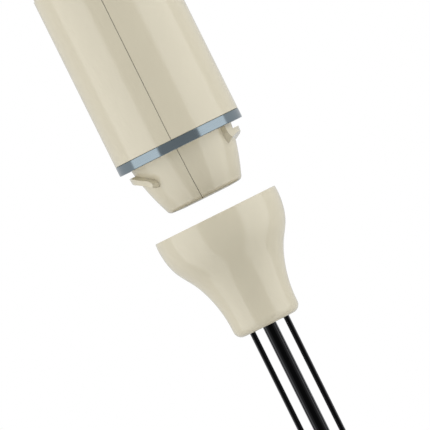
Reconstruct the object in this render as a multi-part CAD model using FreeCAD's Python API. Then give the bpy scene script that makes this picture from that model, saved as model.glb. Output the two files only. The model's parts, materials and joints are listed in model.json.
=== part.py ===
"""Immersion blender with its blending arm pulled off the motor unit, in millimetres.

The common axis of the motor unit and the arm is Z. The arm stands at the bottom, with the rim of its
blade guard at z = 0, and the motor unit floats above it by the length of one pull. The buttons face -Y,
the casing's parting plane is y = 0, and the three rods of the arm stand in the plane x = 0.
"""
import FreeCAD, Part
import math
import os
from FreeCAD import Vector

# ---- driving dimensions -------------------------------------------------------------------------
BODY_R = 30.0            # radius of the motor unit's barrel
RING_H = 4.5             # height of the metal trim ring
NECK_R = 26.8            # radius inside the trim ring
NOSE_TOP_R = 24.5        # radius of the nose under the trim ring
NOSE_H = 25.2            # depth of the nose below the trim ring
MOUTH_R = 11.0           # opening in the nose for the drive coupler
WALL = 2.4               # wall of the casing
SEAM = 0.24              # gap that shows between the two halves of the casing
BARREL_TOP = 86.0        # height where the barrel starts to narrow
SHELL_TOP = 172.0        # height of the casing above the trim ring's lower face
GAP = 33.5               # how far the arm is pulled off

GUARD_R = 31.0           # radius of the blade guard's rim
GUARD_H = 46.0           # height of the blade guard
GUARD_WALL = 2.4
SKIRT_TOP = 17.0         # height of the skirt, the guard's lower part with the windows
BARE_ROD = 106.3         # length of rod that shows between the guard and the bell
BELL_H = 53.8            # height of the coupling bell
BELL_RIM_R = 29.35       # outer radius of the bell's rim
BELL_BORE_R = 27.2       # inner radius of the bell where it takes the lugs
FOOT_R = 15.75           # radius of the bell's foot
ROD_R = 1.3              # the two outer rods
ROD_PITCH = 8.25         # distance of each outer rod from the axis
TUBE_R = 3.2             # the middle tube
SHAFT_R = 2.0            # the drive shaft in it

LUG_R = 26.8             # outer radius of the bayonet lugs
STOP_WALL = 57.5         # direction of the rear lug's stop wall, in degrees from +X
LEDGE_END = 140.5        # direction of the ledge's low end
TAB_START, TAB_END = 142.0, 176.0        # directions of the bell's rear tab, before it is turned to lock
TEETH = 6                # teeth of the drive coupling, one every 60 degrees
BUTTON_TRAVEL = 1.6

RIM_Z = GUARD_H + BARE_ROD + BELL_H      # the bell's rim
SEAT_Z = RIM_Z + GAP                     # the trim ring's lower face, where the rim seats
FOOT_Z = RIM_Z - BELL_H                  # the underside of the bell's foot

UP = Vector(0, 0, 1)
BACK = Vector(0, 1, 0)


# ---- helpers ------------------------------------------------------------------------------------
def turned(outline):
    """A solid of revolution about Z. The outline is a list of (r, z) corners. An item ("arc", via, end)
    is a circular arc from the corner before it, and ("curve", points) is a smooth curve through points."""
    def at(p):
        return Vector(p[0], 0, p[1])

    edges = []
    here = outline[0]
    for item in outline[1:] + [outline[0]]:
        if item[0] == "arc":
            edges.append(Part.Arc(at(here), at(item[1]), at(item[2])).toShape())
            here = item[2]
        elif item[0] == "curve":
            curve = Part.BSplineCurve()
            curve.interpolate([at(here)] + [at(p) for p in item[1]])
            edges.append(curve.toShape())
            here = item[1][-1]
        elif math.dist(here, item) > 1e-6:
            edges.append(Part.LineSegment(at(here), at(item)).toShape())
            here = item
    return Part.Face(Part.Wire(edges)).revolve(Vector(0, 0, 0), UP, 360)


def disc(radius, low, high, x=0.0, y=0.0):
    return Part.makeCylinder(radius, high - low, Vector(x, y, low), UP)


def collar(outer, inner, low, high, x=0.0, y=0.0):
    return disc(outer, low, high, x, y).cut(disc(inner, low - 1, high + 1, x, y))


def pin_y(radius, near, far, x, z):
    """A cylinder along Y, from y = near to y = far."""
    return Part.makeCylinder(radius, far - near, Vector(x, near, z), BACK)


def block(x0, x1, y0, y1, z0, z1):
    return Part.makeBox(x1 - x0, y1 - y0, z1 - z0, Vector(x0, y0, z0))


def fused(shapes):
    whole = shapes[0].multiFuse(shapes[1:]) if len(shapes) > 1 else shapes[0]
    return whole.removeSplitter()


def spun(shape, degrees):
    copy = shape.copy()
    copy.rotate(Vector(0, 0, 0), UP, degrees)
    return copy


def ring_of(shape, count, start=0.0):
    return [spun(shape, start + 360.0 * i / count) for i in range(count)]


def raised(shape, height):
    copy = shape.copy()
    copy.translate(Vector(0, 0, height))
    return copy


def sector(outer, inner, low, high, start, end):
    """A piece of a ring between two directions, in degrees from +X."""
    piece = Part.makeCylinder(outer, high - low, Vector(0, 0, low), UP, end - start)
    return spun(piece, start).cut(disc(inner, low - 1, high + 1))


def pill_y(width, low, high, near, far):
    """A prism along Y whose outline in XZ is a slot with round ends."""
    r = width / 2
    body = block(-r, r, near, far, low + r, high - r)
    return fused([body, pin_y(r, near, far, 0, low + r), pin_y(r, near, far, 0, high - r)])


def lead(points, radius):
    """A round wire through points: straight runs joined by tangent arcs, as large as the runs allow."""
    p = [Vector(*q) for q in points]
    edges, here = [], p[0]
    for a, b, c in zip(p, p[1:], p[2:]):
        into, out = (b - a).normalize(), (c - b).normalize()
        short = 0.45 * min((b - a).Length, (c - b).Length)
        start, end = b - into * short, b + out * short
        middle = (start + end) / 2
        half = math.radians(math.degrees(into.getAngle(out))) / 2
        centre = b + (middle - b).normalize() * (short / math.sin(half))
        top = centre + (b - centre).normalize() * (short / math.tan(half))
        edges.append(Part.LineSegment(here, start).toShape())
        edges.append(Part.Arc(start, top, end).toShape())
        here = end
    edges.append(Part.LineSegment(here, p[-1]).toShape())
    path = Part.Wire(edges)
    section = Part.Wire(Part.makeCircle(radius, p[0], p[1] - p[0]))
    return path.makePipeShell([section], True, True)


def coil(mean, wire, length, turns):
    """A compression spring that stands on z = 0."""
    rise = length - 2 * wire
    path = Part.makeLongHelix(rise / turns, rise, mean)
    section = Part.Wire(Part.makeCircle(wire, Vector(mean, 0, 0), BACK))
    spring = Part.Wire(path.Edges).makePipeShell([section], True, True)
    return raised(spring, wire)


def laid(shape, axis, degrees, at):
    """A part built along Z, turned about an axis through the origin and then moved to a place."""
    copy = shape.copy()
    copy.rotate(Vector(0, 0, 0), axis, degrees)
    copy.translate(Vector(*at))
    return copy


def save(name, shape, height=0.0):
    raised(shape, height).exportStep(f"parts/{name}.step")


# ---- the casing of the motor unit, measured from the trim ring's lower face ------------------------
def casing_solid(inset):
    """The casing's outer form, made smaller all round by inset."""
    i = inset
    return turned([
        (0, -NOSE_H + i),
        ("arc", (8.0, -NOSE_H + 0.18 + i), (15.9 - i, -NOSE_H + 0.7 + i)),
        ("arc", (17.55 - i, -NOSE_H + 1.25 + i), (18.4 - i, -NOSE_H + 2.75 + i)),
        ("arc", (21.95 - i, -11.9), (NOSE_TOP_R - i, i)),
        (NECK_R - i, i),
        (NECK_R - i, RING_H + 0.05 + i),
        (BODY_R - i, RING_H + 0.05 + i),
        (BODY_R - i, BARREL_TOP),
        ("curve", [(r - i, z) for r, z in grip_curve()]),
        (0, SHELL_TOP),
    ])


def grip_curve():
    """The grip narrows above the barrel, towards the buttons."""
    return [(29.2, 100.0), (26.6, 122.0), (24.4, 146.0), (23.4, SHELL_TOP)]


def grip_solid(inset):
    """Only the casing above the motor, for what is let into it or stands on it."""
    i = inset
    return turned([
        (0, BARREL_TOP - 6), (BODY_R - i, BARREL_TOP - 6), (BODY_R - i, BARREL_TOP),
        ("curve", [(r - i, z) for r, z in grip_curve()]),
        (0, SHELL_TOP),
    ])


def radial_block(outline, middle, near, far):
    """A solid whose sides run straight out from the axis, made as a loft between two planes that face the
    direction middle. A corner is (direction, z at LUG_R, slope), where slope is how fast it falls towards
    the axis. ("arc", via, end) is an arc."""
    def at(corner, y):
        turn = math.radians(middle - corner[0])
        return Vector(y * math.tan(turn), y, corner[1] - corner[2] * (LUG_R - y / math.cos(turn)))

    wires = []
    for y in (near, far):
        edges, here = [], outline[0]
        for item in outline[1:] + [outline[0]]:
            if item[0] == "arc":
                edges.append(Part.Arc(at(here, y), at(item[1], y), at(item[2], y)).toShape())
                here = item[2]
            else:
                edges.append(Part.LineSegment(at(here, y), at(item, y)).toShape())
                here = item
        wires.append(Part.Wire(edges))
    return spun(Part.makeLoft(wires, True, True), middle - 90)


def bayonet_lug():
    """The lug on the rear half. A stop wall closes the channel over it, and its ledge drops away from it."""
    bend, under = 108.0, 0.5
    ledge = radial_block([
        (STOP_WALL, 0.0, 0), (67.6, 0.0, 0), (68.2, -2.75, 0), (bend, -2.75, 0), (131.0, -6.3, 0),
        ("arc", (137.6, -7.7, 0), (LEDGE_END, -9.4, 0)), (LEDGE_END - 3.0, -10.2, under),
        (bend, -6.0, under), (STOP_WALL + 5, -6.0, under),
        ("arc", (STOP_WALL + 1.4, -5.1, under / 2), (STOP_WALL, -3.2, 0))], 99.0, 15.5, 27.5)
    rim = turned([
        (0, 0), (LUG_R, 0), (LUG_R, -2.75), (LUG_R - 0.3, -6.2), (LUG_R - 0.6, -11.5), (0, -11.5)])
    return ledge.common(rim).cut(casing_solid(WALL / 2))


SCREW_X = 10.5
SCREW_Z = (108.0, 154.0)
HEAD_Y = 8.0
ON_Z, TURBO_Z = 141.0, 119.0
ON_R, TURBO_R = 8.0, 6.6
BEZEL = (24.0, 107.0, 155.0)             # width, low end, high end
PAD = (30.0, 98.0, 164.0)


def case_screw_places():
    return [(x, z) for x in (-SCREW_X, SCREW_X) for z in SCREW_Z]


def make_casing():
    outer, middle, inner = casing_solid(0), casing_solid(WALL / 2), casing_solid(WALL)
    mouth = disc(MOUTH_R, -NOSE_H - 1, -NOSE_H + 6)
    skin = outer.cut(middle)
    lining = middle.cut(inner)
    lip = 2.0
    far = 100.0
    front = fused([
        skin.common(block(-far, far, -far, -SEAM / 2, -far, 2 * far)),
        lining.common(block(-far, far, -far, lip, -far, 2 * far)),
        spun(bayonet_lug(), 180),
    ])
    rear = fused([
        skin.common(block(-far, far, SEAM / 2, far, -far, 2 * far)),
        lining.common(block(-far, far, lip + 0.2, far, -far, 2 * far)),
        bayonet_lug(),
    ])
    for x, z in case_screw_places():
        front = front.fuse(pin_y(3.4, -40, -0.2, x, z).common(middle))
        front = front.cut(pin_y(1.25, -HEAD_Y, 1, x, z))
        rear = rear.fuse(pin_y(3.6, 0.2, 40, x, z).common(middle))
        rear = rear.cut(pin_y(1.6, -1, 12, x, z)).cut(pin_y(2.9, HEAD_Y, 60, x, z))
    front = front.cut(pill_y(BEZEL[0] + 0.2, BEZEL[1] - 0.1, BEZEL[2] + 0.1, -40, 0).cut(grip_solid(0.8)))
    for r, z in ((ON_R, ON_Z), (TURBO_R, TURBO_Z)):
        front = front.cut(pin_y(r + 0.3, -40, -10, 0, z))
    rear = rear.cut(pill_y(PAD[0] + 0.2, PAD[1] - 0.1, PAD[2] + 0.1, 0, 40).cut(grip_solid(0.8)))
    for z in (86.5, 90.0, 93.5):
        rear = rear.cut(block(-8, 8, 15, 40, z - 0.8, z + 0.8))
    for name, half in (("front_shell", front), ("rear_shell", rear)):
        save(name, half.cut(mouth).removeSplitter(), SEAT_Z)


def make_trim_ring():
    chamfer = 0.25
    save("trim_ring", turned([
        (NECK_R + 0.1, 0), (BODY_R - chamfer, 0), (BODY_R, chamfer), (BODY_R, RING_H - chamfer),
        (BODY_R - chamfer, RING_H), (NECK_R + 0.1, RING_H)]), SEAT_Z)


def make_top_cap():
    gland_r = 6.5
    dome = turned([
        (gland_r, 181.0), (gland_r, 188.2), (8.6, 188.2), ("arc", (19.2, 182.3), (23.4, SHELL_TOP + 0.2)),
        (20.9, SHELL_TOP + 0.2), (20.9, 167.0), (19.4, 167.0), (19.4, SHELL_TOP + 0.6),
        ("arc", (16.6, 179.6), (8.8, 184.4)), (8.8, 181.0)])
    slots = ring_of(block(11.5, 18.0, -0.8, 0.8, 174, 192), 12)
    save("top_cap", dome.cut(fused(slots)), SEAT_Z)
    save("cable_gland", turned([
        (3.6, 178.5), (7.8, 178.5), (7.8, 180.9), (gland_r - 0.1, 180.9), (gland_r - 0.1, 188.3),
        (7.9, 188.3), (7.9, 189.2), (6.6, 190.5), (3.6, 190.5)]), SEAT_Z)


def make_grip_trim():
    bezel = pill_y(*BEZEL, -40, -5).common(grip_solid(-0.5).cut(grip_solid(0.7)))
    for r, z in ((ON_R, ON_Z), (TURBO_R, TURBO_Z)):
        bezel = bezel.cut(pin_y(r + 0.3, -40, -5, 0, z))
    save("button_bezel", bezel, SEAT_Z)
    save("grip_pad", pill_y(*PAD, 5, 40).common(grip_solid(-0.5).cut(grip_solid(0.7))), SEAT_Z)
    screws = []
    for x, z in case_screw_places():
        slot = block(x - 0.3, x + 0.3, HEAD_Y + 1, 20, z - 2, z + 2)
        head = pin_y(2.7, HEAD_Y, HEAD_Y + 1.8, x, z).cut(slot)
        screws.append(fused([pin_y(1.25, -HEAD_Y + 0.4, HEAD_Y, x, z), head]))
    save("case_screws", Part.makeCompound(screws), SEAT_Z)


# ---- the buttons, switches and control board ------------------------------------------------------
BUTTONS = (("on", ON_R, ON_Z, -18.6, 3), ("turbo", TURBO_R, TURBO_Z, -21.6, 5))   # back face, spring turns
BOARD_Y = -9.0                           # rear face of the control board
BOARD_T = 1.6
SWITCH_FACE = -14.6                      # front face of the switches
STEM_TIP = SWITCH_FACE - BUTTON_TRAVEL - 0.5


def make_buttons():
    for name, r, z, back, turns in BUTTONS:
        cap = pin_y(r, -40, back, 0, z).common(grip_solid(-1.8))
        cap = cap.makeFillet(0.6, [e for e in cap.Edges if e.BoundBox.YMax < back - 1])
        flange = pin_y(r + 1.2, -40, back, 0, z).common(grip_solid(2.8))
        stem = pin_y(1.8, back, STEM_TIP, 0, z)
        save(f"{name}_button", fused([cap, flange, stem]), SEAT_Z)
        save(f"{name}_plunger", pin_y(1.2, STEM_TIP, SWITCH_FACE + 1.0, 0, z), SEAT_Z)
        spring = coil(3.4, 0.35, SWITCH_FACE - back, turns)
        save(f"{name}_spring", laid(spring, Vector(1, 0, 0), -90, (0, back, z)), SEAT_Z)


def make_control_board():
    board = block(-15, 15, BOARD_Y - BOARD_T, BOARD_Y, 112, 150)
    for x in (-12.0, 12.0):
        board = board.cut(pin_y(1.2, BOARD_Y - 3, BOARD_Y + 1, x, 131))
    save("control_board", board, SEAT_Z)
    switches = []
    for z in (ON_Z, TURBO_Z):
        body = block(-4, 4, SWITCH_FACE, BOARD_Y - BOARD_T, z - 4, z + 4)
        switches.append(body.cut(pin_y(1.5, SWITCH_FACE - 1, SWITCH_FACE + 3.2, 0, z)))
    save("switches", Part.makeCompound(switches), SEAT_Z)
    parts = [
        block(-10, 2, BOARD_Y, BOARD_Y + 9, 116, 128),
        pin_y(4.0, BOARD_Y, BOARD_Y + 12, 8.5, 122),
        block(-11, -3, BOARD_Y, BOARD_Y + 5, 136, 146),
        block(3, 11, BOARD_Y, BOARD_Y + 2, 134, 140),
        pin_y(2.4, BOARD_Y, BOARD_Y + 7, 7.5, 145),
    ]
    save("board_components", Part.makeCompound(parts), SEAT_Z)


def make_leads():
    """Two leads from the board down to the brush holders."""
    start = BOARD_Y + 1.0
    runs = [[(s * 4.5, start, 113.5), (s * 4.5, start, 101), (s * 9, 0, 92), (s * 15, 9.6, 83),
             (s * 15, 9.6, 66), (s * 15, 2.6, 66)] for s in (-1, 1)]
    save("motor_leads", Part.makeCompound([lead(run, 0.9) for run in runs]), SEAT_Z)


# ---- the motor --------------------------------------------------------------------------------------
STACK = (26.0, 54.0)                     # low and high end of the laminations
POST_X = 23.0
MOTOR_SHAFT_R = 2.5


def make_stator():
    core = disc(25.4, *STACK).common(block(-26, 26, -20.5, 20.5, *STACK)).cut(disc(12.7, 0, 90))
    coils = []
    for side in (90, 270):
        for a, b in ((-59, -32), (32, 59)):
            core = core.cut(sector(18.7, 13.4, 0, 90, side + a, side + b))
        loop = sector(18.4, 13.7, 20.0, 60.0, side - 58, side + 58)
        coils.append(loop.cut(sector(20, 12, STACK[0] - 0.6, STACK[1] + 0.6, side - 33, side + 33)))
    for x in (-POST_X, POST_X):
        core = core.cut(disc(1.5, 0, 90, x, 0))
    save("stator_core", core, SEAT_Z)
    save("stator_coils", Part.makeCompound(coils), SEAT_Z)


def make_brackets():
    floor = WALL + RING_H + 0.05
    lower = [disc(27.3, floor, floor + 2.2), disc(10.5, 1.0, floor + 2.2)]
    upper = [block(-25, 25, -8, 8, 72.0, 75.0), disc(8.0, 72.0, 79.0)]
    for x in (-POST_X, POST_X):
        lower.append(block(x - 1.9, x + 1.9, -4.5, 4.5, floor, STACK[0]))
        upper.append(block(x - 1.9, x + 1.9, -4.5, 4.5, STACK[1], 72.0))
    for x in (-19, 9):
        upper.append(block(x, x + 10, -1.5, 1.5, 68.9, 72.0))
    lower = fused(lower).cut(disc(8.0, 3.0, 20)).cut(disc(5.0, 0, 4))
    upper = fused(upper).cut(disc(5.0, 70, 90))
    for x in (-POST_X, POST_X):
        lower = lower.cut(disc(1.3, floor + 3, 90, x, 0))
        upper = upper.cut(disc(1.5, 50, 90, x, 0))
    save("motor_bracket_lower", lower, SEAT_Z)
    save("motor_bracket_upper", upper, SEAT_Z)
    screws = [disc(1.3, floor + 4, 75.0, x, 0).fuse(disc(2.4, 75.0, 77.0, x, 0)) for x in (-POST_X, POST_X)]
    save("motor_screws", Part.makeCompound(screws), SEAT_Z)


def make_bearings():
    ring_in = turned([(MOTOR_SHAFT_R + 0.02, 3.2), (4.2, 3.2), (4.2, 8.3), (MOTOR_SHAFT_R + 0.02, 8.3)])
    outer = turned([(6.4, 3.05), (8.0, 3.05), (8.0, 8.3), (6.4, 8.3)])
    balls = ring_of(Part.makeSphere(1.1, Vector(5.3, 0, 5.7)), 8)
    save("lower_bearing", Part.makeCompound([outer, ring_in] + balls), SEAT_Z)
    save("upper_bearing", collar(5.0, MOTOR_SHAFT_R + 0.03, 72.5, 79.0), SEAT_Z)
    save("motor_shaft_seal", turned([
        (MOTOR_SHAFT_R + 0.03, 1.2), (4.9, 1.2), (4.9, 2.9), (4.0, 2.9), (MOTOR_SHAFT_R + 0.03, 1.9)]), SEAT_Z)


def make_brush_gear():
    brush = block(7.0, 14.0, -1.9, 1.9, 63.6, 68.4)
    holder = block(8.6, 20.0, -2.6, 2.6, 62.9, 68.9).cut(block(8, 19.2, -2.0, 2.0, 63.5, 68.5))
    spring = laid(coil(1.4, 0.25, 5.0, 4), BACK, 90, (14.1, 0, 66))
    for name, piece in (("brushes", brush), ("brush_holders", holder), ("brush_springs", spring)):
        save(name, Part.makeCompound(ring_of(piece, 2)), SEAT_Z)


def make_rotor():
    save("rotor_shaft", disc(MOTOR_SHAFT_R, -9.0, 81.0), SEAT_Z)
    slots = ring_of(block(7.0, 14.0, -1.2, 1.2, *STACK), 12)
    save("rotor_core", collar(12.2, MOTOR_SHAFT_R, *STACK).cut(Part.makeCompound(slots)), SEAT_Z)
    bars = ring_of(block(7.2, 11.2, -1.0, 1.0, STACK[0] - 0.5, STACK[1] + 0.5), 12)
    ends = []
    for low, high in ((20.5, STACK[0] - 0.05), (STACK[1] + 0.05, 59.5)):
        bulge = (low + high) / 2
        ends.append(turned([(3.4, low), (9.6, low), ("arc", (11.8, bulge), (9.6, high)), (3.4, high)]))
    save("rotor_windings", fused(ends + bars), SEAT_Z)
    segments = collar(6.6, MOTOR_SHAFT_R, 60.5, 70.5)
    for cut in ring_of(block(4.6, 8, -0.25, 0.25, 60, 71), 12, 15):
        segments = segments.cut(cut)
    save("commutator", segments, SEAT_Z)


def make_fan():
    hub = collar(5.0, MOTOR_SHAFT_R, 10.6, 18.5)
    plate = collar(19.0, MOTOR_SHAFT_R, 10.6, 11.8)
    blade = block(4.5, 18.5, -0.5, 0.5, 11.5, 17.5)
    blade.rotate(Vector(4.5, 0, 0), UP, 18)
    save("cooling_fan", fused([hub, plate] + ring_of(blade, 11)), SEAT_Z)


def star(valley, tip, width, low, high):
    """A toothed prism: a round core with TEETH teeth of the given width."""
    bar = block(-tip, tip, -width / 2, width / 2, low, high)
    bars = [spun(bar, 360.0 * i / TEETH).common(disc(tip, low, high)) for i in range(TEETH // 2)]
    return fused([disc(valley, low, high)] + bars)


def make_motor_coupler():
    body = turned([
        (0, -20.5), (7.6, -20.5), (8.4, -19.7), (8.4, -8.5), (6.0, -7.0), (6.0, -1.5), (0, -1.5)])
    socket = star(4.15, 5.3, 2.5, -21, -10)
    mouth = Part.makeCone(6.2, 5.0, 1.4, Vector(0, 0, -20.6), UP)
    flutes = ring_of(block(7.7, 9, -0.7, 0.7, -18.5, -10), 12)
    body = body.cut(fused([socket, mouth])).cut(disc(MOTOR_SHAFT_R, -9, 0)).cut(Part.makeCompound(flutes))
    save("motor_coupler", body, SEAT_Z)


# ---- the coupling bell of the arm, measured from its rim ----------------------------------------------
BELL_INSIDE = [
    (13.5, -45.0), (14.4, -39.6), (16.3, -31.7), (17.8, -28.0), (19.5, -23.8), (22.6, -18.5), (25.6, -14.2)]
PLATE_SCREW_X = 9.5


def make_bell():
    bell = turned([
        (BELL_RIM_R - 0.3, 0), ("arc", (BELL_RIM_R - 0.09, -0.09), (BELL_RIM_R, -0.3)),
        ("curve", [(29.1, -7.9), (26.8, -15.9), (22.0, -23.8), (18.6, -31.7), (16.6, -39.6), (FOOT_R, -50.0)]),
        ("arc", (14.62, -52.7), (11.9, -BELL_H)), (0, -BELL_H), (0, -50.4), (13.2, -50.4),
        ("curve", BELL_INSIDE),
        (BELL_BORE_R, -10.8), (BELL_BORE_R, -0.5), (BELL_BORE_R + 0.4, 0)])
    tab = bell_tab()
    posts = [collar(2.4, 0.9, -50.5, -47.2, x, 0) for x in (-PLATE_SCREW_X, PLATE_SCREW_X)]
    bell = fused([bell, tab, spun(tab, 180)] + posts)
    for x, y, r in rod_holes():
        bell = bell.cut(disc(r, -BELL_H - 1, -49, x, y))
    save("bell_housing", bell, RIM_Z)


def bell_tab():
    """A tab inside the rim, sloped underneath at its back as the lug's ledge is."""
    tab = radial_block([
        (TAB_START, -0.4, 0), (TAB_END, -0.4, 0), (TAB_END, -3.2, 0), (TAB_END - 9, -1.9, 0),
        (TAB_START, -1.9, 0)], (TAB_START + TAB_END) / 2, 20, 30)
    return tab.common(collar(BELL_BORE_R + 0.6, NOSE_TOP_R + 0.5, -10, 0))


def rod_holes():
    return [(0, 0, TUBE_R), (0, ROD_PITCH, ROD_R), (0, -ROD_PITCH, ROD_R)]


def make_liner():
    """The cup inside the bell that takes the nose, with a hub for the shaft's upper bush."""
    skin = [(r - 0.3, z) for r, z in BELL_INSIDE[4:]]
    save("coupling_liner", turned([
        (4.6, -34.0), (7.0, -34.0), (7.0, -28.6), (17.0, -28.6), ("curve", skin), (26.0, -12.3),
        (22.5, -12.3), (20.9, -18.0), (18.6, -24.0), (17.3, -26.6), (16.2, -26.6),
        (16.2, -27.9), (11.9, -27.9), (11.9, -26.6), (7.0, -26.6), (7.0, -24.2), (4.6, -24.2)]), RIM_Z)
    save("upper_bush", collar(4.6, SHAFT_R + 0.03, -33.6, -24.4), RIM_Z)
    seal = turned([(12.2, -27.6), (15.9, -27.6), (15.9, -26.2), ("arc", (15.5, -25.1), (14.05, -24.95)),
                   ("arc", (12.6, -25.1), (12.2, -26.2))])
    save("bell_seal", seal, RIM_Z)


def make_rod_plate():
    plate = disc(12.8, -47.2, -45.2)
    for x, y, r in rod_holes():
        plate = plate.cut(disc(r, -60, -40, x, y))
    screws = []
    for x in (-PLATE_SCREW_X, PLATE_SCREW_X):
        plate = plate.cut(disc(1.2, -60, -40, x, 0))
        screws.append(disc(0.9, -50.0, -45.2, x, 0).fuse(disc(2.0, -45.2, -43.8, x, 0)))
    save("rod_plate", plate, RIM_Z)
    save("plate_screws", Part.makeCompound(screws), RIM_Z)


# ---- the rods, the guard and the blade, measured from the guard's rim -----------------------------------
ROD_FOOT = GUARD_H - 12.0
PLATE_TOP = RIM_Z - 45.2


def make_rods():
    for name, side in (("front_rod", -1), ("rear_rod", 1)):
        y = side * ROD_PITCH
        head = disc(2.3, PLATE_TOP, PLATE_TOP + 1.6, 0, y)
        save(name, fused([disc(ROD_R, ROD_FOOT, PLATE_TOP, 0, y), head]))
    tube = fused([disc(TUBE_R, ROD_FOOT, PLATE_TOP), disc(5.0, PLATE_TOP, PLATE_TOP + 1.2)])
    save("shaft_tube", tube.cut(disc(SHAFT_R + 0.6, 0, RIM_Z)))


def make_guard():
    lip = GUARD_WALL / 4                 # rounding of the rim
    outer = [
        (11.6, GUARD_H), ("arc", (14.3, GUARD_H - 1.1), (15.4, GUARD_H - 3.8)),
        ("arc", (16.9, 34.0), (21.2, 25.8)), ("arc", (27.9, 13.8), (GUARD_R, lip))]
    rim = [("arc", (GUARD_R - 0.3 * lip, 0.3 * lip), (GUARD_R - lip, 0)), (GUARD_R - GUARD_WALL, 0)]
    inner = [
        ("arc", (25.5, 13.0), (18.7, 24.8)), ("arc", (14.6, 29.4), (9.0, 31.6)),
        (7.4, 31.6), (7.4, 19.0), (0, 19.0), (0, GUARD_H)]
    guard = turned(outer + rim + inner)
    arch = Part.makeCylinder(7.5, 40, Vector(0, 0, 6.5), Vector(1, 0, 0))
    window = fused([block(0, 40, -7.5, 7.5, -1, 6.5), arch])
    wall_middle = turned([(0, 0), (GUARD_R - 1.0, 0), ("arc", (25.9, 14.0), (10.0, 32.6)), (0, 32.6)])
    rib = block(7.0, 24.0, -0.8, 0.8, 20.5, 34.0).common(wall_middle)
    guard = guard.fuse(ring_of(rib, 4, 45)).cut(Part.makeCompound(ring_of(window, 4)))
    for x, y, r in rod_holes():
        guard = guard.cut(disc(r, ROD_FOOT, GUARD_H + 1, x, y))
    guard = guard.cut(disc(4.4, 0, 33.0)).cut(disc(SHAFT_R + 0.6, 0, GUARD_H))
    below = disc(GUARD_R + 1, -1, SKIRT_TOP)
    save("guard_skirt", guard.common(below).removeSplitter())
    save("blade_guard", guard.cut(below).removeSplitter())
    save("lower_bush", collar(4.4, SHAFT_R + 0.03, 22.5, 33.0))
    save("lip_seal", turned([(SHAFT_R + 0.03, 19.4), (4.4, 19.4), (4.4, 22.4), (3.2, 22.4), (3.0, 20.6),
                             (SHAFT_R + 0.03, 20.0)]))


def blade(bend, tip_side):
    """A two-winged blade of 1.2 mm plate: flat at the hub, with ground, bent wing tips."""
    t, root, reach, width = 1.2, 11.0, 12.5, 8.0
    flat = block(-root, root, -width / 2, width / 2, 0, t)
    tip = block(0, reach, -width / 2, width / 2, 0, t)
    edge = block(-1, reach + 1, -3.2, 0, -2, 4)
    edge.rotate(Vector(0, 0, 0), Vector(1, 0, 0), 30)
    edge.translate(Vector(0, -width / 2 + 1.6 * 0.5, 0))
    tip = tip.cut(edge)
    nose = block(reach - 7, reach + 6, 0, 12, -2, 4)
    nose.rotate(Vector(reach - 7, 0, 0), UP, -24)
    nose.translate(Vector(0, width / 2 - 0.3, 0))
    tip = tip.cut(nose)
    tip.rotate(Vector(0, 0, 0 if tip_side > 0 else t), BACK, -bend * tip_side)
    tip.translate(Vector(root - 0.02, 0, 0))
    whole = fused([flat, tip, spun(tip, 180)])
    return whole.cut(disc(SHAFT_R, -5, 5))


def make_shaft():
    top = RIM_Z - 10.9
    save("drive_shaft", disc(SHAFT_R, 6.5, RIM_Z - 13.0))
    coupler = star(3.9, 5.0, 2.0, RIM_Z - 21.0, top)
    lead_in = turned([(0, RIM_Z - 30), (6, RIM_Z - 30), (6, top - 1.6), (3.6, top), (0, top)])
    coupler = fused([coupler.common(lead_in), disc(6.0, RIM_Z - 23.6, RIM_Z - 21.0)])
    save("shaft_coupler", coupler.cut(disc(SHAFT_R, 0, RIM_Z - 13.0)))
    save("retaining_clip", sector(3.9, SHAFT_R, RIM_Z - 35.4, RIM_Z - 34.4, 20, 340))
    save("thrust_washer", collar(4.6, SHAFT_R, 18.0, 18.6))
    save("blade_hub", fused([collar(4.4, SHAFT_R, 13.2, 17.9), collar(5.6, SHAFT_R, 13.2, 14.4)]))
    save("upper_blade", spun(blade(20, 1), 90), 12.0)
    save("lower_blade", blade(16, -1), 10.8)
    corners = [spun(Part.Vertex(4.2, 0, 7.6), a).Point for a in range(0, 361, 60)]
    nut = Part.Face(Part.makePolygon(corners)).extrude(Vector(0, 0, 3.2))
    dome = turned([(0, 6.0), ("arc", (2.6, 6.5), (3.6, 7.6)), (0, 7.6)])
    save("blade_nut", fused([nut, dome]).cut(disc(SHAFT_R, 6.5, 20)))


os.makedirs("parts", exist_ok=True)
make_casing()
make_trim_ring()
make_top_cap()
make_grip_trim()
make_buttons()
make_control_board()
make_leads()
make_stator()
make_brackets()
make_bearings()
make_brush_gear()
make_rotor()
make_fan()
make_motor_coupler()
make_bell()
make_liner()
make_rod_plate()
make_rods()
make_guard()
make_shaft()
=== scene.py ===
import json
import math

import bmesh
import bpy
from mathutils import Matrix, Vector
from mathutils.bvhtree import BVHTree


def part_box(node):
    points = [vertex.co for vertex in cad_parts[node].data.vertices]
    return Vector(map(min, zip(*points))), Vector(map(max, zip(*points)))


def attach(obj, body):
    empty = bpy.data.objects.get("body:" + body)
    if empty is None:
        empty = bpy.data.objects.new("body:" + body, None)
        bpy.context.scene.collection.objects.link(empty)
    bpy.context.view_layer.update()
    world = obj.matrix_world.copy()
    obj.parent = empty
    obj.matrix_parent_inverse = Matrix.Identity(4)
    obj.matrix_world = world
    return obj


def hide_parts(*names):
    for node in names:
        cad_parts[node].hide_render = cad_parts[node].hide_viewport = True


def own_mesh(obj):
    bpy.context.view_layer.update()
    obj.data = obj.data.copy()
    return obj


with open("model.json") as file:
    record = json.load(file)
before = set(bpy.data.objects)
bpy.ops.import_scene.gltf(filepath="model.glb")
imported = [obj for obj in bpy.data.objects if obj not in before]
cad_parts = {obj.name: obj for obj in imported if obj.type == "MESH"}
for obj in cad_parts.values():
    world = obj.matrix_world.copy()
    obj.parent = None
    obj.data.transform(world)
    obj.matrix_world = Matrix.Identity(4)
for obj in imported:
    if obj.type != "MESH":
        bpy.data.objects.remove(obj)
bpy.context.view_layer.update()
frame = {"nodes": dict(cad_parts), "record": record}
nodes = frame["nodes"]

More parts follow.
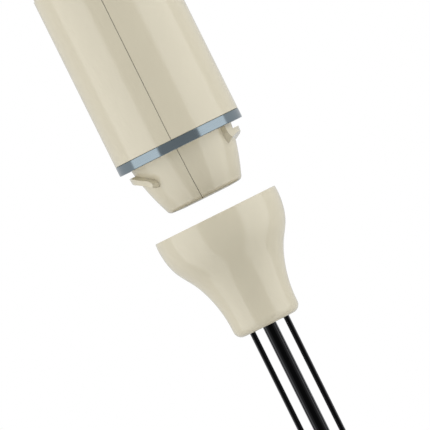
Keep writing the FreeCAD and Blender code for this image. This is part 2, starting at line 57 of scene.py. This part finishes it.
MM = 0.001
RIM_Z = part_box("bell_housing")[1].z          # the bell's rim


def in_scene(name, data):
    """A new object in the scene."""
    obj = bpy.data.objects.new(name, data)
    bpy.context.scene.collection.objects.link(obj)
    return obj


# ---- materials ------------------------------------------------------------------------------------
def new_material(name):
    material = bpy.data.materials.new(name)
    material.use_nodes = True
    tree = material.node_tree
    shader = tree.nodes["Principled BSDF"]
    return material, tree, shader


def add(tree, kind, **values):
    """Adds a node. A value is set on the input of that name, or else on the node itself."""
    node = tree.nodes.new(kind)
    for key, value in values.items():
        if hasattr(node, key):
            setattr(node, key, value)
        else:
            node.inputs[key.replace("_", " ")].default_value = value
    return node


def placed(tree, scale=(1, 1, 1)):
    """The point of the surface in metres, stretched by scale."""
    point = add(tree, "ShaderNodeTexCoord")
    if scale == (1, 1, 1):
        return point.outputs["Object"]
    mapping = add(tree, "ShaderNodeMapping")
    mapping.inputs["Scale"].default_value = scale
    tree.links.new(point.outputs["Object"], mapping.inputs["Vector"])
    return mapping.outputs["Vector"]


def noise(tree, size, detail=3.0, rough=0.5, stretch=(1, 1, 1)):
    """Noise with features of about this size in metres."""
    node = add(tree, "ShaderNodeTexNoise", Scale=1.0 / size, Detail=detail, Roughness=rough)
    tree.links.new(placed(tree, stretch), node.inputs["Vector"])
    return node.outputs["Fac"]


def ranged(tree, value, low, high, start=0.3, stop=0.7):
    node = add(tree, "ShaderNodeMapRange", From_Min=start, From_Max=stop, To_Min=low, To_Max=high)
    tree.links.new(value, node.inputs["Value"])
    return node.outputs["Result"]


def mixed(tree, factor, first, second, blend="MIX"):
    """A colour mix. first and second are colours or sockets."""
    node = add(tree, "ShaderNodeMix", data_type="RGBA", blend_type=blend)
    for socket, value in ((node.inputs[0], factor), (node.inputs[6], first), (node.inputs[7], second)):
        if hasattr(value, "node"):
            tree.links.new(value, socket)
        else:
            socket.default_value = value
    return node.outputs[2]


def arithmetic(tree, operation, first, second):
    """One Math node. first and second are numbers or sockets."""
    node = add(tree, "ShaderNodeMath", operation=operation)
    for socket, value in zip(node.inputs, (first, second)):
        if hasattr(value, "node"):
            tree.links.new(value, socket)
        else:
            socket.default_value = value
    return node.outputs[0]


def edges(tree, radius):
    """Rounded normals at the edges, and how close a point is to an edge, from 0 to 1."""
    bevel = add(tree, "ShaderNodeBevel", samples=4)
    bevel.inputs["Radius"].default_value = radius
    flat = add(tree, "ShaderNodeNewGeometry")
    dot = add(tree, "ShaderNodeVectorMath", operation="DOT_PRODUCT")
    tree.links.new(bevel.outputs["Normal"], dot.inputs[0])
    tree.links.new(flat.outputs["Normal"], dot.inputs[1])
    return bevel.outputs["Normal"], ranged(tree, dot.outputs["Value"], 1.0, 0.0, 0.85, 1.0)


def bumped(tree, shader, heights, normal=None):
    """Adds bumps one on another. heights is a list of (socket, depth in metres)."""
    for height, depth in heights:
        bump = add(tree, "ShaderNodeBump", Distance=depth)
        tree.links.new(height, bump.inputs["Height"])
        if normal is not None:
            tree.links.new(normal, bump.inputs["Normal"])
        normal = bump.outputs["Normal"]
    tree.links.new(normal, shader.inputs["Normal"])


def colour(r, g, b):
    return (r, g, b, 1.0)


def shade(rgb, by):
    return colour(*[min(1.0, c * by) for c in rgb])


def plastic(name, rgb, rough=0.3, grain=0.0006, depth=0.00001, edge=0.0003, worn=1.12, mottle=0.03,
            specks=0.0, specular=0.5, subsurface=0.0):
    """A moulded plastic: faint clouds in its colour, a fine skin texture and slightly rubbed edges."""
    material, tree, shader = new_material(name)
    normal, near_edge = edges(tree, edge)
    cloud = noise(tree, 0.02, 4.0)
    base = mixed(tree, ranged(tree, cloud, 0, 1), shade(rgb, 1 - mottle), shade(rgb, 1 + mottle))
    if specks:
        dots = noise(tree, 0.0011, 2.0, 0.7)
        base = mixed(tree, ranged(tree, dots, 0, specks, 0.66, 0.76), base, shade(rgb, 0.7))
    rubbed = noise(tree, 0.004, 5.0, 0.65)
    wear = arithmetic(tree, "MULTIPLY", near_edge, ranged(tree, rubbed, 0.0, 0.8, 0.4, 0.65))
    base = mixed(tree, wear, base, shade(rgb, worn))
    tree.links.new(base, shader.inputs["Base Color"])
    patch = noise(tree, 0.008, 6.0, 0.6)
    tree.links.new(ranged(tree, patch, rough * 0.85, rough * 1.2), shader.inputs["Roughness"])
    shader.inputs["Specular IOR Level"].default_value = specular
    shader.inputs["Subsurface Weight"].default_value = subsurface
    shader.inputs["Subsurface Radius"].default_value = (0.002, 0.0016, 0.001)
    bumped(tree, shader, [(noise(tree, grain, 2.0), depth), (noise(tree, 0.009, 2.0), depth * 1.5)], normal)
    return material


def metal(name, rgb, rough=0.2, stretch=(1, 1, 1), grain=0.0004, depth=0.000004, edge=0.0002, worn=1.2,
          spread=0.5, stain=0.06, painted_edge_sheen=None):
    """A metal with a directional grain and rubbed bright edges. Its last argument, if given, is a painted
    edge sheen: the colour that the base turns to where the surface is seen edge-on.
    """
    material, tree, shader = new_material(name)
    shader.inputs["Metallic"].default_value = 1.0
    normal, near_edge = edges(tree, edge)
    lines = noise(tree, grain, 3.0, 0.6, stretch)
    cloud = noise(tree, 0.012, 5.0, 0.6)
    base = mixed(tree, ranged(tree, cloud, 0, 1), shade(rgb, 1 - stain), shade(rgb, 1 + stain))
    base = mixed(tree, ranged(tree, lines, 0, 0.35), base, shade(rgb, 0.82))
    scuffed = noise(tree, 0.003, 5.0, 0.65)
    wear = arithmetic(tree, "MULTIPLY", near_edge, ranged(tree, scuffed, 0.0, 0.9, 0.4, 0.65))
    base = mixed(tree, wear, base, shade(rgb, worn))
    # Painted sheen: the base colour lightens where the surface is seen edge-on, standing in for reflected
    # light.
    if painted_edge_sheen:
        view = add(tree, "ShaderNodeLayerWeight", Blend=0.5)
        base = mixed(tree, ranged(tree, view.outputs["Facing"], 0.0, 1.0, 0.15, 0.85), base, colour(*painted_edge_sheen))
    tree.links.new(base, shader.inputs["Base Color"])
    polish = ranged(tree, lines, rough * (1 - spread * 0.5), rough * (1 + spread))
    tree.links.new(polish, shader.inputs["Roughness"])
    bumped(tree, shader, [(lines, depth)], normal)
    return material


def rubber(name, rgb, rough=0.62, grain=0.0005, depth=0.00003, edge=0.0003):
    """A soft rubber: matt, finely pitted, with dusty paler edges."""
    material, tree, shader = new_material(name)
    normal, near_edge = edges(tree, edge)
    cloud = noise(tree, 0.01, 5.0, 0.6)
    base = mixed(tree, ranged(tree, cloud, 0, 1), shade(rgb, 0.9), shade(rgb, 1.1))
    dust = noise(tree, 0.003, 5.0, 0.7)
    pale = arithmetic(tree, "MULTIPLY", near_edge, ranged(tree, dust, 0.1, 0.7, 0.35, 0.65))
    base = mixed(tree, pale, base, colour(*[c * 0.8 + 0.12 for c in rgb]))
    tree.links.new(base, shader.inputs["Base Color"])
    tree.links.new(ranged(tree, cloud, rough * 0.9, min(1.0, rough * 1.15)), shader.inputs["Roughness"])
    shader.inputs["Specular IOR Level"].default_value = 0.35
    shader.inputs["Sheen Weight"].default_value = 0.12
    shader.inputs["Sheen Roughness"].default_value = 0.5
    bumped(tree, shader, [(noise(tree, grain, 3.0), depth)], normal)
    return material


def banded(name, rgb, dark, pitch, axis="Z", rough=0.4, metallic=1.0, depth=0.00004, wobble=0.4):
    """Fine parallel bands across an axis: stacked plates, or turns of wire."""
    material, tree, shader = new_material(name)
    shader.inputs["Metallic"].default_value = metallic
    wave = add(tree, "ShaderNodeTexWave", wave_type="BANDS", bands_direction=axis)
    wave.inputs["Scale"].default_value = 0.314 / pitch
    wave.inputs["Distortion"].default_value = wobble
    wave.inputs["Detail"].default_value = 2.0
    wave.inputs["Detail Scale"].default_value = 30.0
    tree.links.new(placed(tree), wave.inputs["Vector"])
    cloud = noise(tree, 0.006, 5.0, 0.6)
    base = mixed(tree, ranged(tree, cloud, 0, 1), shade(rgb, 0.88), shade(rgb, 1.12))
    base = mixed(tree, ranged(tree, wave.outputs["Fac"], 0.75, 0.0, 0.0, 0.4), base, colour(*dark))
    tree.links.new(base, shader.inputs["Base Color"])
    tree.links.new(ranged(tree, cloud, rough * 0.85, rough * 1.2), shader.inputs["Roughness"])
    bumped(tree, shader, [(wave.outputs["Fac"], depth)])
    return material


def circuit_board(name):
    """Green solder mask over copper tracks, with tinned dots."""
    material, tree, shader = new_material(name)
    tracks = add(tree, "ShaderNodeTexBrick", offset=0.37, squash=1.0)
    tracks.inputs["Color1"].default_value = colour(0.010, 0.075, 0.032)
    tracks.inputs["Color2"].default_value = colour(0.014, 0.10, 0.040)
    tracks.inputs["Mortar"].default_value = colour(0.035, 0.19, 0.075)
    tracks.inputs["Scale"].default_value = 220.0
    tracks.inputs["Mortar Size"].default_value = 0.09
    tracks.inputs["Brick Width"].default_value = 1.1
    tracks.inputs["Row Height"].default_value = 0.45
    turned = add(tree, "ShaderNodeMapping")
    turned.inputs["Rotation"].default_value = (math.radians(90), 0, 0)
    tree.links.new(placed(tree), turned.inputs["Vector"])
    tree.links.new(turned.outputs["Vector"], tracks.inputs["Vector"])
    pads = add(tree, "ShaderNodeTexVoronoi", Scale=330.0)
    tree.links.new(placed(tree), pads.inputs["Vector"])
    dots = ranged(tree, pads.outputs["Distance"], 1.0, 0.0, 0.12, 0.2)
    base = mixed(tree, dots, tracks.outputs["Color"], colour(0.45, 0.43, 0.38))
    tree.links.new(base, shader.inputs["Base Color"])
    tree.links.new(dots, shader.inputs["Metallic"])
    tree.links.new(ranged(tree, noise(tree, 0.004), 0.28, 0.42), shader.inputs["Roughness"])
    bumped(tree, shader, [(tracks.outputs["Fac"], 0.00003)])
    return material


CREAM = (0.71, 0.648, 0.49)
look = {
    "cream_plastic": plastic("moulded_cream", CREAM, rough=0.13, mottle=0.008, specks=0.03, worn=1.03,
                             depth=0.0000015, edge=0.0002, specular=0.75),
    "trim_metal": metal("satin_ring", (0.27, 0.325, 0.355), rough=0.11, stretch=(0.03, 0.03, 1), grain=0.0003,
                        stain=0.03, depth=0.000001),
    "stainless": metal("polished_steel", (0.56, 0.56, 0.56), rough=0.1, stretch=(1, 1, 0.03), grain=0.0003,
                       stain=0.04),
    # Polished steel rods: the near-black base colour is a painted dark reflection of the room in front of
    # them, and the edge-on colour is a painted sheen.
    "rod_steel_painted_dark": metal("steel_painted_dark_reflection", (0.008, 0.008, 0.0083), rough=0.14, stretch=(1, 1, 0.03),
                        grain=0.0003, stain=0.1, depth=0.000002, painted_edge_sheen=(0.22, 0.22, 0.225)),
    "plated_screw": metal("zinc_plate", (0.55, 0.56, 0.57), rough=0.25, grain=0.0008),
    "soft_grip": rubber("soft_touch", (0.16, 0.165, 0.17)),
    "button_plastic": plastic("button_grey", (0.33, 0.34, 0.34), rough=0.42, grain=0.0003, depth=0.00003),
    "grey_rubber": rubber("grey_rubber", (0.19, 0.195, 0.20)),
    "black_rubber": rubber("black_rubber", (0.02, 0.02, 0.021)),
    "white_nylon": plastic("white_nylon", (0.74, 0.73, 0.68), rough=0.38, subsurface=0.05),
    "black_plastic": plastic("filled_black", (0.022, 0.022, 0.023), rough=0.45, depth=0.00003, worn=2.0),
    "red_plastic": plastic("red_plunger", (0.42, 0.02, 0.015), rough=0.3),
    "board_green": circuit_board("circuit_board"),
    "lamination_steel": banded("stacked_steel", (0.34, 0.35, 0.37), (0.05, 0.05, 0.055), 0.0005),
    "turned_steel": metal("ground_steel", (0.56, 0.56, 0.57), rough=0.16, stretch=(0.05, 0.05, 1)),
    "copper_wire": banded("wound_copper", (0.62, 0.22, 0.09), (0.10, 0.03, 0.015), 0.0007, rough=0.32,
                          wobble=3.0),
    "commutator_copper": metal("turned_copper", (0.74, 0.34, 0.20), rough=0.24, stretch=(0.05, 0.05, 1)),
    "carbon": plastic("pressed_carbon", (0.03, 0.03, 0.032), rough=0.5, grain=0.0004, depth=0.00004,
                      worn=1.8),
    "brass": metal("folded_brass", (0.66, 0.47, 0.19), rough=0.28),
    "bronze": metal("sintered_bronze", (0.45, 0.28, 0.12), rough=0.42, grain=0.0006, depth=0.00002),
    "spring_steel": metal("spring_wire", (0.48, 0.48, 0.50), rough=0.22),
    "lead_insulation": plastic("blue_insulation", (0.035, 0.08, 0.33), rough=0.4),
}
slot_of = {s["node"]: s["material_slot"] for s in frame["record"]["subparts"]}


def dress(obj, name):
    obj.data.materials.clear()
    obj.data.materials.append(look[name])


# The three rods take the steel whose near-black colour is a painted dark reflection.
ROD_NODES = ("front_rod", "rear_rod", "shaft_tube")
for node_name, node in nodes.items():
    dress(node, "rod_steel_painted_dark" if node_name in ROD_NODES else slot_of[node_name])


# ---- detailed pieces ---------------------------------------------------------------------------------
def link(name, mesh, body, slot_name, finish, *replaced):
    """Puts a finished mesh in the scene as a piece of a body, with its finish and the nodes it stands for."""
    piece = in_scene(name, mesh)
    dress(piece, finish)
    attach(piece, body)
    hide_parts(*replaced)
    return piece


def smooth(mesh, angle=35.0):
    """Smooth shading that keeps every edge sharper than the angle."""
    mesh.shade_smooth()
    mesh.set_sharp_from_angle(angle=math.radians(angle))


def made(work, name):
    """Ends the work on a mesh and gives it a name."""
    mesh = bpy.data.meshes.new(name)
    work.to_mesh(mesh)
    work.free()
    return mesh


def final_mesh(holder):
    """The mesh that an object and its modifiers come to. The object itself goes."""
    mesh = bpy.data.meshes.new_from_object(holder.evaluated_get(bpy.context.evaluated_depsgraph_get()))
    bpy.data.objects.remove(holder)
    return mesh


def rounded(mesh, radius):
    """The mesh with its sharp edges bevelled."""
    holder = in_scene(mesh.name, mesh)
    bevel = holder.modifiers.new("bevel", "BEVEL")
    bevel.width = radius
    bevel.segments = 2
    bevel.limit_method = "ANGLE"
    bevel.angle_limit = math.radians(SHARP)
    bevel.use_clamp_overlap = True
    bevel.harden_normals = False
    return final_mesh(holder)


WELD = 0.004 * MM            # points of a CAD mesh closer than this are one
FLAT = 0.6                   # faces within this angle of each other are one face, in degrees
SHARP = 28.0                 # an edge sharper than this is rounded off, in degrees


def softened(node_name, radius, body):
    """A copy of a CAD node with its sharp edges rounded off, which stands for the node."""
    work = bmesh.new()
    work.from_mesh(nodes[node_name].data)
    bmesh.ops.remove_doubles(work, verts=work.verts, dist=WELD)
    bmesh.ops.dissolve_limit(work, angle_limit=math.radians(FLAT), verts=work.verts, edges=work.edges)
    name = node_name + "_finished"
    mesh = rounded(made(work, name), radius)
    smooth(mesh)
    link(name, mesh, body, slot_of[node_name], slot_of[node_name], node_name)


def tube_mesh(name, points, radius):
    """A round wire of twelve sides through points, as a mesh with closed ends."""
    curve = bpy.data.curves.new(name, "CURVE")
    curve.dimensions = "3D"
    spline = curve.splines.new("NURBS")
    spline.points.add(len(points) - 1)
    for target, point in zip(spline.points, points):
        target.co = (*point, 1.0)
    spline.order_u = 4
    spline.use_endpoint_u = True
    curve.resolution_u = 4
    curve.bevel_depth = radius
    curve.bevel_resolution = 2
    curve.use_fill_caps = True
    mesh = final_mesh(in_scene(name, curve))
    smooth(mesh, 50)
    return mesh


def grip_radius(z):
    """Radius of the grip at a height, found on the back pad, which stands PAD_PROUD off it."""
    hit = pad_surface.ray_cast(Vector((0, 1, z)), Vector((0, -1, 0)))[0]
    return hit.y - PAD_PROUD


def eased(value, start, stop):
    """0 below start, 1 above stop, and smooth between."""
    t = min(1.0, max(0.0, (value - start) / (stop - start)))
    return t * t * (3 - 2 * t)


PAD_PROUD = 0.5 * MM
PAD_DEPTH = 1.1 * MM
PAD_ROUND = 0.35 * MM        # rounding of the pad's outer edge
RIB_PITCH = 3.3 * MM
RIB_SIDE = 0.35              # how far a rib's sides lean, from 0 for upright
GROOVE = 0.6 * MM
BORDER = 2.2 * MM            # flat edge of the pad round its ribs
RIB_END = 0.88 * MM          # length over which a rib runs out into it
ROWS = 264                   # faces along the pad and across it
COLUMNS = 30
PAD_TRIM = 0.0004            # the part of its length that is left off at either end
pad_surface = BVHTree.FromObject(nodes["grip_pad"], bpy.context.evaluated_depsgraph_get())


def ribbed_pad():
    """The soft pad: the CAD pad's outline, with cross ribs that stop short of a smooth border."""
    low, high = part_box("grip_pad")
    half = (high.x - low.x) / 2
    bottom, top = low.z, high.z
    work = bmesh.new()
    fronts, backs = [], []
    for i in range(ROWS + 1):
        z = bottom + (top - bottom) * (PAD_TRIM + (1 - 2 * PAD_TRIM) * i / ROWS)
        inward = max(0.0, half - min(z - bottom, top - z))
        reach = math.sqrt(max(0.0, half ** 2 - inward ** 2))
        radius = grip_radius(z) + PAD_PROUD
        wave = eased(math.cos(2 * math.pi * (z - (bottom + top) / 2) / RIB_PITCH), -RIB_SIDE, RIB_SIDE)
        front, back = [], []
        for j in range(COLUMNS + 1):
            x = reach * math.sin(math.pi / 2 * (2 * j / COLUMNS - 1))
            to_end = max(0.0, half - math.hypot(x, inward))
            sunk = GROOVE * (1 - wave) * eased(to_end, BORDER - RIB_END, BORDER)
            sunk += PAD_ROUND * (1 - math.sqrt(1 - (1 - min(1.0, to_end / PAD_PROUD)) ** 2))
            y = math.sqrt(radius ** 2 - x ** 2)
            front.append(work.verts.new((x, y - sunk, z)))
            back.append(work.verts.new((x, y - PAD_DEPTH, z)))
        fronts.append(front)
        backs.append(back)
    for i in range(ROWS):
        for j in range(COLUMNS):
            work.faces.new((fronts[i][j], fronts[i][j + 1], fronts[i + 1][j + 1], fronts[i + 1][j]))
            work.faces.new((backs[i][j], backs[i + 1][j], backs[i + 1][j + 1], backs[i][j + 1]))
        for j in (0, COLUMNS):
            work.faces.new((fronts[i][j], fronts[i + 1][j], backs[i + 1][j], backs[i][j]))
    for i in (0, ROWS):
        for j in range(COLUMNS):
            work.faces.new((fronts[i][j], backs[i][j], backs[i][j + 1], fronts[i][j + 1]))
    bmesh.ops.recalc_face_normals(work, faces=work.faces)
    mesh = made(work, "ribbed_pad")
    smooth(mesh, 40)
    link("ribbed_pad", mesh, "motor_unit", "soft_grip", "soft_grip", "grip_pad")


def rings_mesh(name, rings, tip):
    """A closed skin over rings of points, from a point at one end to a flat face at the other."""
    work = bmesh.new()
    loops = [[work.verts.new(p) for p in ring] for ring in rings]
    count = len(rings[0])
    for a, b in zip(loops, loops[1:]):
        for j in range(count):
            work.faces.new((a[j], a[(j + 1) % count], b[(j + 1) % count], b[j]))
    first = loops[0]
    centre = work.verts.new(tip)
    for j in range(count):
        work.faces.new((centre, first[j], first[(j + 1) % count]))
    work.faces.new(loops[-1])
    bmesh.ops.recalc_face_normals(work, faces=work.faces)
    return made(work, name)


CAP_PROUD = 1.8 * MM         # how far a button stands out of the grip
FLANGE_SUNK = 2.8 * MM       # how far its flange lies under the grip's surface
FLANGE = 1.2 * MM            # width of the flange that keeps it in
FLANGE_FLAT = 0.85           # the part of it that is flat
FLANGE_EDGE = 0.2 * MM       # depth of its chamfer
STEM_R = 1.8 * MM
STEM_EDGE = 0.3 * MM         # chamfer of the stem
EDGE = 0.9 * MM              # rounding of a button's front edge
DISH = 0.9 * MM              # depth of its thumb rest
DISH_PART = 0.86             # the part of its radius that the rest takes
MARK = 0.5 * MM              # height of a button's raised mark
FACE = 0.98                  # the part of the cap's radius that its face and rounded edge take
TIP = 1 / 49                 # radius of the face's first ring, as a part of the face's
RING_POINTS = 96
FACE_RINGS = 56              # rings of points over a button's face
EDGE_RINGS = 6               # rings of points over its rounded edge


def dished_button(name, mark):
    """A push button whose face follows the grip and sinks to a thumb rest, with a raised mark in it."""
    low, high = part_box(name)
    centre = (low.z + high.z) / 2
    r = (high.x - low.x) / 2 - FLANGE
    rim = r + FLANGE * 0.9
    back = max(v.co.y for v in nodes[name].data.vertices if math.hypot(v.co.x, v.co.z - centre) > rim)

    def front(x, z, sunk):
        """y of a surface that follows the grip, this far under the cap's face."""
        return -math.sqrt((grip_radius(z) + CAP_PROUD - sunk) ** 2 - x ** 2)

    def ring(rho, depth):
        """A ring of points at the distance rho from the button's axis, each at its own depth."""
        points = []
        for j in range(RING_POINTS):
            turn = 2 * math.pi * j / RING_POINTS
            x, z = rho * math.cos(turn), centre + rho * math.sin(turn)
            points.append((x, depth(rho, x, z), z))
        return points

    def face(rho, x, z):
        dish = DISH * (1 - eased(rho, 0.0, r * DISH_PART))
        return front(x, z, 0.0) + dish - MARK * mark(x, z - centre)

    flat = FACE * r - EDGE
    rings = [ring(flat * (TIP + (1 - TIP) * i / FACE_RINGS), face) for i in range(FACE_RINGS + 1)]
    for i in range(1, EDGE_RINGS + 1):
        turn = math.pi / 2 * i / EDGE_RINGS
        rings.append(ring(r - EDGE + EDGE * math.sin(turn),
                          lambda rho, x, z, t=turn: front(x, z, 0) + EDGE * (1 - math.cos(t))))
    under = CAP_PROUD + FLANGE_SUNK
    rings.append(ring(r, lambda rho, x, z: front(x, z, under)))
    rings.append(ring(r + FLANGE * FLANGE_FLAT, lambda rho, x, z: front(x, z, under)))
    rings.append(ring(r + FLANGE, lambda rho, x, z: front(x, z, under) + FLANGE_EDGE))
    rings.append(ring(r + FLANGE, lambda *_: back))
    rings.append(ring(STEM_R, lambda *_: back))
    rings.append(ring(STEM_R, lambda *_: high.y - STEM_EDGE))
    rings.append(ring(STEM_R - STEM_EDGE, lambda *_: high.y))
    mesh = rings_mesh(name + "_cap", rings, (0, face(0, 0, centre), centre))
    smooth(mesh, 40)
    link(name + "_cap", mesh, name, "button_plastic", "button_plastic", name)


BAR_HALF = 1.5 * MM          # half the length of a raised bar, without its round ends
BAR_TOP = 0.45 * MM          # half its width at the top and at the foot
BAR_FOOT = 0.75 * MM
BAR_APART = 1.3 * MM         # a bar's distance from the middle where there are two


def single_bar(x, z):
    """A short upright bar: a plain raised mark for the first speed."""
    return 1 - eased(math.hypot(x, max(0.0, abs(z) - BAR_HALF)), BAR_TOP, BAR_FOOT)


def double_bar(x, z):
    """Two upright bars, for the boosted speed."""
    return single_bar(abs(x) - BAR_APART, z)


TURN_POINTS = 20             # points in each turn of a spring


def helix(radius, start, stop, turns, at, axis):
    """Points of a compression spring from start to stop along an axis, with its end turns closed."""
    points = []
    count = int(turns * TURN_POINTS)
    for i in range(count + 1):
        share = i / count
        closed = 0.5 - 0.5 * math.cos(math.pi * share)
        along = start + (stop - start) * (closed + share) / 2
        turn = 2 * math.pi * turns * share
        side, up = radius * math.cos(turn), radius * math.sin(turn)
        points.append((side, along, at + up) if axis == "Y" else (along, side, at + up))
    return points


def button_spring(name, turns):
    """A wire spring behind a button."""
    low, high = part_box(name)
    wire = 0.35 * MM
    centre = (low.z + high.z) / 2
    mean = (high.x - low.x) / 2 - wire
    mesh = tube_mesh(name + "_wire", helix(mean, low.y + wire, high.y - wire, turns, centre, "Y"), wire)
    piece = link(name + "_wire", mesh, "motor_unit", "spring_steel", "spring_steel", name)
    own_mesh(piece)


def brush_spring_pair():
    """The two wire springs that press the brushes on the commutator."""
    low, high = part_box("brush_springs")
    wire = 0.25 * MM
    centre = (low.z + high.z) / 2
    mean = (high.z - low.z) / 2 - wire
    near = min(v.co.x for v in nodes["brush_springs"].data.vertices if v.co.x > 0)
    coils = [tube_mesh("coil", helix(mean, s * (near + wire), s * (high.x - wire), 6, centre, "X"), wire)
             for s in (-1, 1)]
    work = bmesh.new()
    for coil in coils:
        work.from_mesh(coil)
    mesh = made(work, "brush_spring_wires")
    smooth(mesh, 50)
    link("brush_spring_wires", mesh, "motor_unit", "spring_steel", "spring_steel", "brush_springs")


ribbed_pad()
dished_button("on_button", single_bar)
dished_button("turbo_button", double_bar)
button_spring("on_spring", 4.5)
button_spring("turbo_spring", 6.5)
brush_spring_pair()

SOFT_EDGES = (                # node, rounding in millimetres, body
    ("button_bezel", 0.18, "motor_unit"),
    ("top_cap", 0.2, "motor_unit"),
    ("cable_gland", 0.3, "motor_unit"),
    ("case_screws", 0.15, "motor_unit"),
    ("blade_guard", 0.3, "arm"),
    ("guard_skirt", 0.3, "arm"),
    ("upper_blade", 0.07, "blade_shaft"),
    ("lower_blade", 0.07, "blade_shaft"),
    ("blade_nut", 0.25, "blade_shaft"),
    ("blade_hub", 0.2, "blade_shaft"),
    ("shaft_coupler", 0.2, "blade_shaft"),
    ("motor_coupler", 0.2, "rotor"),
)
for node_name, radius, body in SOFT_EDGES:
    softened(node_name, radius * MM, body)


# ---- camera, light and floor -------------------------------------------------------------------------
TURN = 5.0                   # how far the object is turned from a plain side view, in degrees
ROLL = 26.4                  # tilt of the axis from the picture's vertical
FIELD = 0.1894               # width of the picture at the object
DISTANCE = 6.0
SENSOR = 36.0                # width of the camera's film in millimetres

aim = Vector((0, 0, RIM_Z))
towards = Vector((-math.cos(math.radians(TURN)), -math.sin(math.radians(TURN)), 0.0))
camera_data = bpy.data.cameras.new("camera")
camera_data.sensor_width = SENSOR
camera_data.lens = SENSOR * DISTANCE / FIELD
camera_data.clip_start = 0.1
camera_data.clip_end = 60.0
camera = in_scene("camera", camera_data)
camera.location = aim + towards * DISTANCE
level = (-towards).to_track_quat("-Z", "Y")
roll = Matrix.Rotation(math.radians(-ROLL), 4, "Z").to_quaternion()
camera.rotation_mode = "QUATERNION"
camera.rotation_quaternion = level @ roll
bpy.context.scene.camera = camera


def panel(name, turn, lift, distance, width, height, power):
    """A soft box that faces the object, turned round it from the camera's side."""
    data = bpy.data.lights.new(name, "AREA")
    data.shape = "RECTANGLE"
    data.size = width
    data.size_y = height
    data.energy = power
    lamp = in_scene(name, data)
    side = Matrix.Rotation(math.radians(turn), 4, "Z") @ towards
    up = Vector((0, 0, 1))
    direction = side * math.cos(math.radians(lift)) + up * math.sin(math.radians(lift))
    lamp.location = aim + direction * distance
    lamp.rotation_mode = "QUATERNION"
    lamp.rotation_quaternion = (-direction).to_track_quat("-Z", "Y")
    lamp.visible_camera = False
    lamp.visible_glossy = False


panel("soft_box_left", turn=-68, lift=0, distance=1.3, width=1.62, height=2.6, power=12.6)
panel("soft_box_right", turn=68, lift=0, distance=1.3, width=1.62, height=2.6, power=13.2)
panel("top_box", turn=0, lift=80, distance=1.4, width=1.0, height=1.0, power=4)

WHITE = 1.0                  # the backdrop that the camera sees
PANEL = 1.55                 # two tall white screens, one on each side
GAP = 0.40                   # the darker room between them, behind the camera
REAR = 0.66                  # the pale wall behind the object
INNER = 38.5                 # where the screens start and stop, in degrees from the camera
OUTER = 98.0
INNER_FADE = 1.5             # how softly they start and stop
OUTER_FADE = 2.0
FILL = 0.62                  # how much of this room's light reaches matt surfaces
BELOW = 0.62                 # how bright the room is straight below
ROOM_TINT = (0.965, 0.98, 1.0)


def band(tree, value, start, stop):
    """0 below start, 1 above stop, and smooth between."""
    node = add(tree, "ShaderNodeMapRange", interpolation_type="SMOOTHSTEP", From_Min=start, From_Max=stop)
    tree.links.new(value, node.inputs["Value"])
    return node.outputs["Result"]


def studio():
    """A white room with two tall screens. Reflections see it, and the camera sees plain white."""
    world = bpy.data.worlds.new("studio")
    bpy.context.scene.world = world
    world.use_nodes = True
    tree = world.node_tree
    where = add(tree, "ShaderNodeTexCoord")
    turn = add(tree, "ShaderNodeVectorRotate", rotation_type="Z_AXIS")
    turn.inputs["Angle"].default_value = math.radians(180.0 - TURN)
    tree.links.new(where.outputs["Generated"], turn.inputs["Vector"])
    parts = add(tree, "ShaderNodeSeparateXYZ")
    tree.links.new(turn.outputs["Vector"], parts.inputs["Vector"])
    sideways = arithmetic(tree, "ABSOLUTE", parts.outputs["Y"], 0.0)
    aside = arithmetic(tree, "ARCTAN2", sideways, parts.outputs["X"])
    aside = arithmetic(tree, "MULTIPLY", aside, 180.0 / math.pi)
    inner = band(tree, aside, INNER - INNER_FADE, INNER + INNER_FADE)
    outer = band(tree, aside, OUTER - OUTER_FADE, OUTER + OUTER_FADE)
    room = add(tree, "ShaderNodeMix", data_type="FLOAT")
    tree.links.new(outer, room.inputs[0])
    room.inputs[2].default_value = GAP
    room.inputs[3].default_value = REAR
    screens = arithmetic(tree, "SUBTRACT", inner, outer)
    lit = add(tree, "ShaderNodeMix", data_type="FLOAT")
    tree.links.new(screens, lit.inputs[0])
    tree.links.new(room.outputs[0], lit.inputs[2])
    lit.inputs[3].default_value = PANEL
    low = band(tree, parts.outputs["Z"], -0.95, -0.2)
    shaded = arithmetic(tree, "MULTIPLY", lit.outputs[0], ranged(tree, low, BELOW, 1.0, 0.0, 1.0))
    ray = add(tree, "ShaderNodeLightPath")
    share = add(tree, "ShaderNodeMix", data_type="FLOAT")
    tree.links.new(ray.outputs["Is Glossy Ray"], share.inputs[0])
    share.inputs[2].default_value = FILL
    share.inputs[3].default_value = 1.0
    room_light = tree.nodes["Background"]
    room_light.inputs["Color"].default_value = colour(*ROOM_TINT)
    tree.links.new(arithmetic(tree, "MULTIPLY", shaded, share.outputs[0]), room_light.inputs["Strength"])
    backdrop = add(tree, "ShaderNodeBackground", Strength=WHITE)
    backdrop.inputs["Color"].default_value = colour(1, 1, 1)
    choice = add(tree, "ShaderNodeMixShader")
    tree.links.new(ray.outputs["Is Camera Ray"], choice.inputs[0])
    tree.links.new(room_light.outputs[0], choice.inputs[1])
    tree.links.new(backdrop.outputs[0], choice.inputs[2])
    tree.links.new(choice.outputs[0], tree.nodes["World Output"].inputs["Surface"])


studio()
bpy.context.scene.view_settings.view_transform = "Standard"

FLOOR_R = 1.1
FLOOR_DROP = 0.5 * MM        # how far the floor lies under the guard's rim
FLOOR_GREY = 0.82
disc = bmesh.new()
bmesh.ops.create_circle(disc, cap_ends=True, segments=96, radius=FLOOR_R)
floor_mesh = made(disc, "floor")
floor = in_scene("floor", floor_mesh)
floor.location.z = -FLOOR_DROP
floor.visible_glossy = False
floor_look, floor_tree, floor_shader = new_material("floor_paper")
floor_shader.inputs["Base Color"].default_value = colour(FLOOR_GREY, FLOOR_GREY, FLOOR_GREY)
floor_shader.inputs["Roughness"].default_value = 0.9
floor_mesh.materials.append(floor_look)
